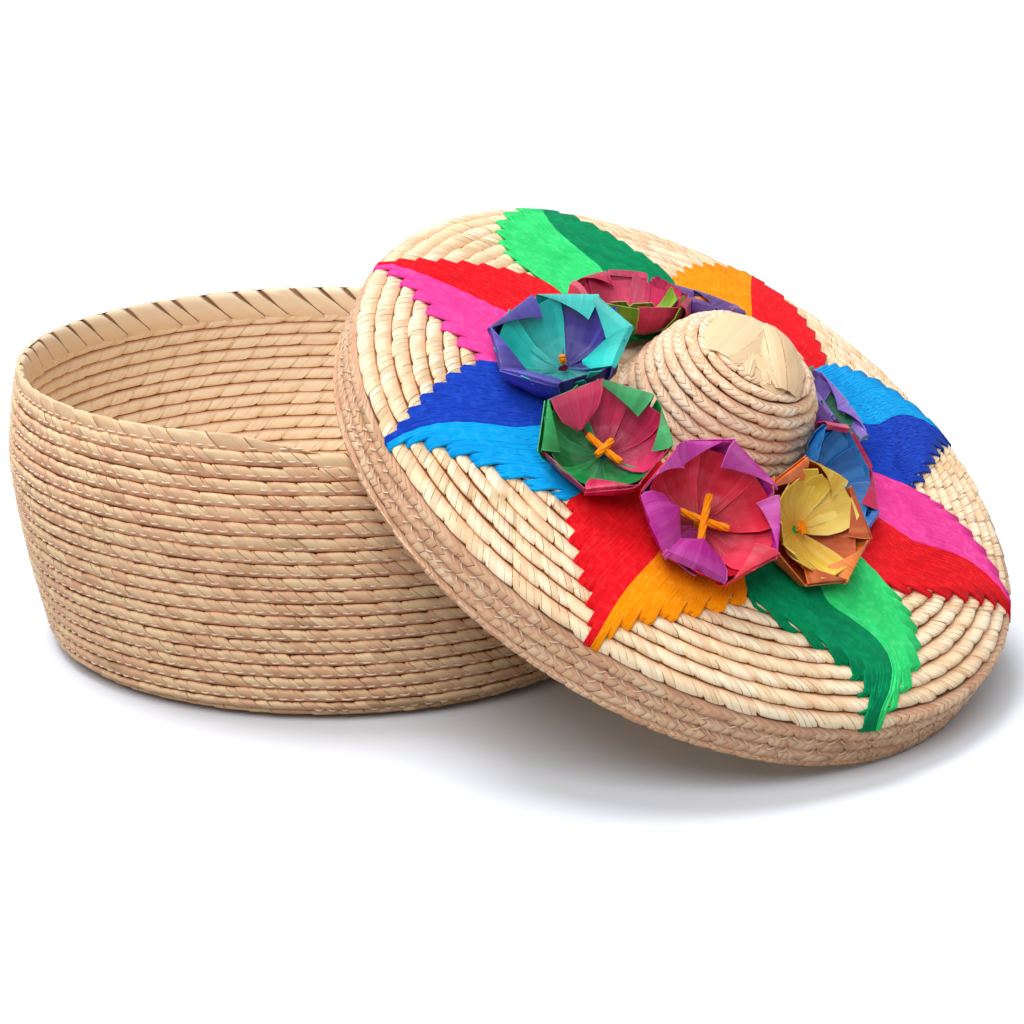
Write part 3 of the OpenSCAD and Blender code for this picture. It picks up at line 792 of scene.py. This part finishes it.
def make_embroidery():
    """Fields of strands laid from the crown out. Each strand ends in the crevice behind a row."""
    brim = brim_outline()
    root_s = np.interp(YARN_ROOT_R, brim["r"], brim["s"])
    for k in range(BLADES):
        for side, colour in zip((-1, 1), BLADE_COLOURS[k]):
            strands = [strand(brim, root_s, k, side, j) for j in range(STRANDS)]
            node_name = f"yarn_{k + 1}_{colour}"
            mesh = tubes(node_name + "_strands", strands, STRAND_R)
            piece(mesh.name, mesh, "lid", YARNS[colour], [node_name])


make_embroidery()


# ---------------------------------------------------------------- flowers

RIBBON_PATTERN = 100.0    # length of satin's pattern that each ribbon has to itself


def satin(name, colour, dark, light):
    """Dyed waxed ribbon: a soft gloss on fine lengthwise threads, and pleats pressed in.

    Its cut edge is pale. Each ribbon is painted lighter or darker, for how the light falls on it, and
    painted shade darkens it towards the flower's middle and along one side. Its pleats are painted
    lighter, as painted highlights, with painted shade in their creases.
    """
    material, tree = new_material(name)
    uv = add(tree, "UVMap", uv_map="weave")
    parts = add(tree, "SeparateXYZ", uv)
    u, across = parts.outputs[0], parts.outputs[1]
    number = add(tree, "Math", add(tree, "Math", u, 1 / RIBBON_PATTERN, **TIMES), **FLOOR)
    along = add(tree, "Math", u, add(tree, "Math", number, RIBBON_PATTERN, **TIMES), **MINUS)
    # Painted light and shade: each ribbon is painted lighter or darker at random, for how the light
    # falls on each panel
    shade = add(tree, "TexWhiteNoise", number, **NUMBERED)
    thread_at = add(tree, "VectorMath", uv, (0.10, 40.0, 1.0), **TIMES)
    thread = add(tree, "TexNoise", thread_at, named={"Scale": 1.0, "Detail": 4.0, "Roughness": 0.65})
    # Painted highlight and shade: pleats are painted lighter, with dark lines in their creases
    pleat_at = add(tree, "CombineXYZ", add(tree, "Math", number, 7.3, **TIMES),
                   add(tree, "Math", across, 2.4, **TIMES))
    pleat = add(tree, "TexNoise", pleat_at, named={"Scale": 1.0, "Detail": 1.0})
    line = add(tree, "Math", add(tree, "Math", pleat, 0.52, **MINUS), **SIZE)
    from_middle = add(tree, "Math", across, **SIZE)
    # Painted shade: darker towards the flower's middle and along one side of each ribbon, over the dye,
    # threads and pleats
    tint = layered(tree, colour,
                   (shade, 0.45, 1.0, 0.0, 0.7, light), (shade, 0.0, 0.45, 0.75, 0.0, dark),
                   (thread, 0.45, 0.75, 0.0, 0.45, dark), (pleat, 0.4, 0.7, 0.0, 0.4, light),
                   (line, 0.0, 0.012, 0.7, 0.0, dark), (along, 0.0, 17.0, 0.85, 0.0, dark),
                   (across, -0.9, 1.0, 0.0, 0.5, dark), (from_middle, 0.95, 0.98, 0.0, 0.55, light))
    height = add(tree, "Math", add(tree, "Math", thread, 0.5, **TIMES), pleat, **PLUS)
    bump = add(tree, "Bump", named={"Height": height, "Strength": 0.6, "Distance": 0.0007})
    shader = add(tree, "BsdfPrincipled", tint, named={
        "Normal": bump, "Roughness": 0.34, "Anisotropic": 0.4})
    add(tree, "OutputMaterial", shader)
    return material


RIBBONS = {
    "indigo": satin("satin_indigo", "#3A2C98", "#1E145C", "#6E60D4"),
    "teal": satin("satin_teal", "#00B4AC", "#006E70", "#1CE0D4"),
    "leaf_green": satin("satin_leaf_green", "#009C44", "#005A26", "#3CC878"),
    "crimson": satin("satin_crimson", "#D0144E", "#7C0430", "#F0487C"),
    "magenta": satin("satin_magenta", "#D014A4", "#8C0870", "#F070D4"),
    "scarlet": satin("satin_scarlet", "#E00030", "#98001C", "#FF4468"),
    "tangerine": satin("satin_tangerine", "#EC6A18", "#A83C08", "#FF9A44"),
    "gold": satin("satin_gold", "#FFDC48", "#D8A01C", "#FFF09A"),
    "azure": satin("satin_azure", "#0A74C8", "#044080", "#3CA4EC"),
    "lilac": satin("satin_lilac", "#8C62CC", "#5C3A98", "#B090EC"),
    "deep_green": satin("satin_deep_green", "#00845A", "#004C34", "#24AC80"),
    "purple": satin("satin_purple", "#5C2C8C", "#341450", "#8450B8"),
    "lime": satin("satin_lime", "#88C420", "#548408", "#B4E45C"),
}
FLOWER_COLOURS = (("indigo", "teal"), ("leaf_green", "crimson"), ("magenta", "scarlet"),
                  ("tangerine", "gold"), ("azure", "crimson"), ("lilac", "deep_green"),
                  ("purple", "tangerine"), ("crimson", "lime"))
TIE_WOOL = wool("wool_tie_orange", "#FF9412", "#E87400", "#FFB040")

# Ribbons of a flower, walked from its seat to the rim and over it: distance from the flower's middle,
# height above its seat and width, in mm
OUTSIDE = ((5.5, 0.2, 8.0), (12.0, 1.0, 13.5), (17.2, 4.6, 18.0), (20.8, 9.8, 21.0), (22.3, 14.6, 22.0))
FLAP = ((22.4, 14.2, 21.5), (22.1, 15.6, 21.5), (19.8, 14.8, 21.0), (17.0, 13.0, 18.5),
        (14.4, 11.0, 15.5))
BROAD = ((22.2, 14.4, 21.5), (21.4, 15.8, 21.5), (17.8, 14.2, 20.0), (13.6, 11.4, 15.0),
         (9.6, 8.6, 2.5))
TURNED_OUT = ((21.2, 14.2, 19.0), (22.6, 16.0, 19.0), (24.6, 14.6, 18.0), (25.4, 10.4, 16.0),
              (24.6, 6.0, 12.0))
INSIDE = ((1.6, 1.4, 2.5), (6.5, 2.0, 8.0), (11.5, 3.8, 13.0), (15.6, 7.6, 17.5),
          (18.6, 11.8, 19.5), (20.4, 14.4, 19.0))
NARROW = ((1.6, 2.0, 2.5), (6.5, 3.4, 7.5), (11.5, 5.8, 11.5), (15.8, 9.4, 12.5),
          (19.0, 13.0, 11.0), (20.8, 15.6, 7.0))
RIBBON_COLUMNS, RIBBON_ROWS = 20, 10
PANEL_AT, FLAP_AT, RIBBON_SPAN = 8, 18, 30    # where a ribbon starts in satin's pattern, and its length

# Each flower's seat (distance from the lid's axis, angle round it, lean), its size, its ribbons
# walked round from the outer side (the outside panels, the flaps over the rim and the petals inside)
# and the lengths of its tie's two strokes, in mm. c is the cup's colour, p the petals' colour, a dot
# is a gap. Capitals are narrow petals or flaps turned out, u and n are broad flaps, in the cup's and
# the petals' colour, that cover the inside.
FLOWER_FORMS = (
    ((60, 24, 30), 1.03, "ccccppc", "cc.nppc", "pppccpp", (2, 3)),
    ((66, 62.5, 27), 0.95, "pppcccc", ".p.ccnc", "ccpppcc", (9, 16)),
    ((67.5, 97, 27), 1.07, "ppcccpc", "upccccu", "ppppppc", (17, 17)),
    ((57.5, 133, 34), 0.92, "ccccccc", "cccpc..", "PcPPPPP", (5, 4)),
    ((44, 167, 34), 0.80, "ccccccc", "CpPP.n.", "ccccccc", (7, 7)),
    ((43, 219, 24), 0.74, "ccccccc", "cc.pcnc", "pcpcpcp", (8, 8)),
    ((46, 299, 28), 0.80, "ccccccc", "cccCCcc", "ppppppp", (8, 8)),
    ((47, 330, 26), 0.88, "ccpcpcc", "cC..CCC", "ccPcPcc", (8, 8)),
)

# The tie's two strokes: direction in degrees, and how far one lies below the other, in mm
TIE_STROKES = ((8, 0.0), (96, 0.9))
TIE_H, TIE_BOW = 6.2, 0.012
TIE_PLIES, PLY_R, PLY_AT = 5, 0.62, 0.75


def seat_matrix(k):
    """Moves points of an upright flower to its seat on the upright lid."""
    (r, angle, tilt), size = FLOWER_FORMS[k % FLOWERS][:2]
    seat_z = crown_height(r) + FLOWER_LIFT + FLOWER_SEAT_R * math.sin(math.radians(tilt)) * 0.7
    seat = (Matrix.Translation((r, 0, seat_z)) @ Matrix.Rotation(math.radians(tilt), 4, "Y")
            @ Matrix.Scale(size, 4))
    return np.array(Matrix.Rotation(math.radians(angle), 4, "Z") @ seat)


def flower_places(k):
    """A function that moves points of an upright flower to its seat on the leaning lid.

    Ribbons are pressed flat where they would reach into the next flower, the crown or the embroidery.
    """
    matrix = seat_matrix(k)
    size = FLOWER_FORMS[k][1]
    rim = (matrix @ FLOWER_RIM)[:2]
    sides = []
    for other in (k - 1, k + 1):
        away = (seat_matrix(other) @ FLOWER_RIM)[:2] - rim
        distance = np.hypot(*away)
        other_size = FLOWER_FORMS[other % FLOWERS][1]
        sides.append((away / distance, distance * size / (size + other_size) - RIBBON_GAP))

    def place(points):
        placed = points @ matrix[:3, :3].T + matrix[:3, 3]
        for direction, reach in sides:
            past = np.maximum((placed[:, :2] - rim) @ direction - reach + PRESS, 0)
            placed[:, :2] += (PRESS * np.tanh(past / PRESS) - past)[:, None] * direction
        r = np.hypot(placed[:, 0], placed[:, 1])
        up = np.clip((placed[:, 2] - CROWN_Z) / CROWN_H, 0, 1)
        crown_r = (CROWN_R + CROWN_GAP) * (1 - CROWN_TAPER * up)
        placed[:, :2] *= np.maximum(crown_r / np.maximum(r, 1), 1)[:, None]
        r = np.minimum(np.hypot(placed[:, 0], placed[:, 1]), LID_R - 1)
        lowest = crown_height(r) + YARN_GAP + 0.12 * points[:, 2]
        placed[:, 2] = np.maximum(placed[:, 2], lowest)
        return leaned(placed)

    return place


def ribbon(bm, number, route, angle, place, start=0.0, cup=0.0, twist=0.0, out=0.0, wide=1.0,
           skew=0.0, crease=0.0, slant=0.0):
    """A ribbon laid along a route, turned about the flower's middle.

    cup bends it across and crease presses a ridge along it, in mm. twist lifts one side of it, out
    and skew carry its far end outward and to one side, in mm, wide is its share of the route's
    width, and slant cuts its far end askew. number and start place it in the satin's pattern.
    """
    route = np.array(route)
    steps = np.linspace(0, 1, len(route))

    def shape(column, row):
        y = row / RIBBON_ROWS * 2 - 1
        cut = 1 - abs(slant) * (1 - math.copysign(1, slant) * y) / 2
        t = column / RIBBON_COLUMNS * cut
        r, z, width = (np.interp(t, steps, route[:, i]) for i in range(3))
        side = y * width * wide / 2
        middle = np.sin(math.pi * np.clip(t * 1.15, 0, 1)) if crease else 1
        fold = cup * (1 - y ** 2) * np.clip(3 * t, 0, 1) + crease * (1 - np.abs(y)) * middle
        x = r + out * t + 0.6 * fold + 0.3 * side * twist * t
        z = z - 0.8 * fold + side * twist * t
        side = side + skew * t ** 2
        points = np.stack([x * np.cos(angle) - side * np.sin(angle),
                           x * np.sin(angle) + side * np.cos(angle), z], axis=1)
        u = RIBBON_PATTERN * number + start + t * RIBBON_SPAN
        return place(points), np.stack([u, y], axis=1)

    bent_grid(RIBBON_COLUMNS, RIBBON_ROWS, shape, bm)


def tie(place, lengths):
    """Two crossed strokes of twisted yarn that tie a flower down."""
    plies = []
    for (direction, lower), length in zip(TIE_STROKES, lengths):
        a = math.radians(direction)
        reach = np.linspace(-length / 2, length / 2, 12)
        height = TIE_H + TIE_BOW * reach ** 2 - lower
        middle = np.stack([reach * math.cos(a), reach * math.sin(a), height], axis=1)
        shares = np.interp(np.abs(reach), (length / 2 - 1.5, length / 2), (1, 0.6))
        for ply in range(TIE_PLIES):
            twist = reach * 0.25 + ply * 2 * math.pi / TIE_PLIES
            side = np.stack([-np.sin(a) * np.cos(twist), np.cos(a) * np.cos(twist), np.sin(twist)],
                            axis=1)
            plies.append((place(middle + PLY_AT * side), shares))
    return plies


def make_flower(k):
    place = flower_places(k)
    outside, flaps, inside, strokes_mm = FLOWER_FORMS[k][2:]
    name = f"flower_{k + 1}"
    ribbons = {"c": bmesh.new(), "p": bmesh.new()}
    hand = random.choice((-1, 1))
    for i in range(PETALS):
        a = i * 2 * math.pi / PETALS + random.uniform(-0.10, 0.10)
        away = random.uniform(-1.6, 1.2)
        bend = random.uniform(-0.10, 0.10)
        number = 20 * k + 2 * i
        if outside[i] != ".":
            ribbon(ribbons[outside[i]], number, OUTSIDE, a, place, start=PANEL_AT, twist=bend,
                   out=away, crease=1.4)
        if flaps[i] != ".":
            target = ribbons["c" if flaps[i] in "cCu" else "p"]
            if flaps[i].isupper():
                ribbon(target, number, TURNED_OUT, a, place, start=FLAP_AT, twist=bend, out=away,
                       cup=-1.0)
            elif flaps[i] in "un":
                ribbon(target, number, BROAD, a, place, start=FLAP_AT, twist=bend, out=away,
                       cup=-0.8, skew=random.uniform(-5, 5))
            else:
                side = hand * random.choice((-1, 1, 1))
                ribbon(target, number, FLAP, a, place, start=FLAP_AT, twist=bend, out=away,
                       cup=-0.6, slant=side * random.uniform(0.55, 1.0))
        if inside[i] != ".":
            target = ribbons["c" if inside[i] in "cC" else "p"]
            turned = a + math.pi / PETALS + random.uniform(-0.10, 0.10)
            if inside[i].isupper():
                for at in (turned, a + random.uniform(-0.1, 0.1)):
                    ribbon(target, number + 1, NARROW, at, place, twist=0.15 * hand,
                           out=random.uniform(-3.0, 0.0), crease=random.uniform(0.8, 1.8),
                           slant=random.uniform(-0.25, 0.25), skew=random.uniform(-2.5, 2.5),
                           wide=random.uniform(0.8, 1.1))
            else:
                ribbon(target, number + 1, INSIDE, turned, place,
                       twist=hand * (0.17 + random.uniform(-0.04, 0.05)),
                       out=random.uniform(-1.2, 0.0), cup=2.0, skew=random.uniform(-1.5, 1.5),
                       wide=random.uniform(0.96, 1.12))
    for letter, part, colour in zip("cp", ("cup", "petals"), FLOWER_COLOURS[k]):
        mesh = solid_ribbon(ribbons[letter], f"{name}_{part}_ribbons")
        piece(mesh.name, mesh, "lid", RIBBONS[colour], [f"{name}_{part}"])
    mesh = tubes(name + "_tie_yarn", tie(place, strokes_mm), PLY_R)
    piece(mesh.name, mesh, "lid", TIE_WOOL, [name + "_tie"])


for flower in range(FLOWERS):
    make_flower(flower)
make_knot()


# ---------------------------------------------------------------- stage

CAMERA_AT = (0.06665, -1.22536, 0.42173)   # metres
CAMERA_PITCH = 17.11                       # degrees below level
CAMERA_LENS, CAMERA_FRAME = 119.3, 36.0    # mm
FLOOR_HALF = 6.0                           # metres
PAPER_LIT, PAPER_SEEN = "#A8A8A8", "#F0F6FF"
SOFT_LIGHT = 0.33                          # strength of the light from all round
# Suns: direction and height in degrees, strength, and how wide they shine, in degrees
SUNS = {"sun_above": (150, 72, 2.1, 30), "sun_front": (256, 50, 1.7, 40)}


def seen_rays(tree):
    """1 where the camera sees the stage, straight or in a gloss."""
    rays = add(tree, "LightPath").outputs
    gloss = add(tree, "Math", rays["Is Glossy Ray"], rays["Is Transmission Ray"], **MOST)
    return add(tree, "Math", rays["Is Camera Ray"], gloss, **MOST)


def white_paper():
    """Matt white paper, which throws less light up than it shows, as in a lit studio."""
    material, tree = new_material("white_paper_floor")
    paper = layered(tree, PAPER_LIT, (seen_rays(tree), PAPER_SEEN))
    shader = add(tree, "BsdfPrincipled", paper, named={"Roughness": 0.9, "Specular IOR Level": 0.0})
    add(tree, "OutputMaterial", shader)
    return material


def make_stage():
    scene = bpy.context.scene
    data = bpy.data.cameras.new("camera")
    data.lens, data.sensor_width = CAMERA_LENS, CAMERA_FRAME
    data.clip_end = 20.0
    camera = bpy.data.objects.new("camera", data)
    camera.location = CAMERA_AT
    camera.rotation_euler = (math.radians(90 - CAMERA_PITCH), 0, 0)
    scene.collection.objects.link(camera)
    scene.camera = camera

    bm = bmesh.new()
    bmesh.ops.create_grid(bm, x_segments=1, y_segments=1, size=FLOOR_HALF)
    mesh = bpy.data.meshes.new("floor")
    bm.to_mesh(mesh)
    bm.free()
    mesh.materials.append(white_paper())
    floor = bpy.data.objects.new("floor", mesh)
    scene.collection.objects.link(floor)

    world = bpy.data.worlds.new("studio")
    scene.world = world
    world.use_nodes = True
    tree = world.node_tree
    tree.nodes.clear()
    soft = add(tree, "Background", "#FFFFFF", SOFT_LIGHT)
    white = add(tree, "Background", "#FFFFFF", 1.0)
    add(tree, "OutputWorld", add(tree, "MixShader", seen_rays(tree), soft, white))

    for name, (azimuth, height, strength, width) in SUNS.items():
        light = bpy.data.lights.new(name, "SUN")
        light.energy, light.angle = strength, math.radians(width)
        sun = bpy.data.objects.new(name, light)
        sun.rotation_euler = (math.radians(90 - height), 0, math.radians(azimuth + 90))
        sun.location = (0, 0, 1)
        scene.collection.objects.link(sun)
    scene.view_settings.view_transform = "Standard"


make_stage()
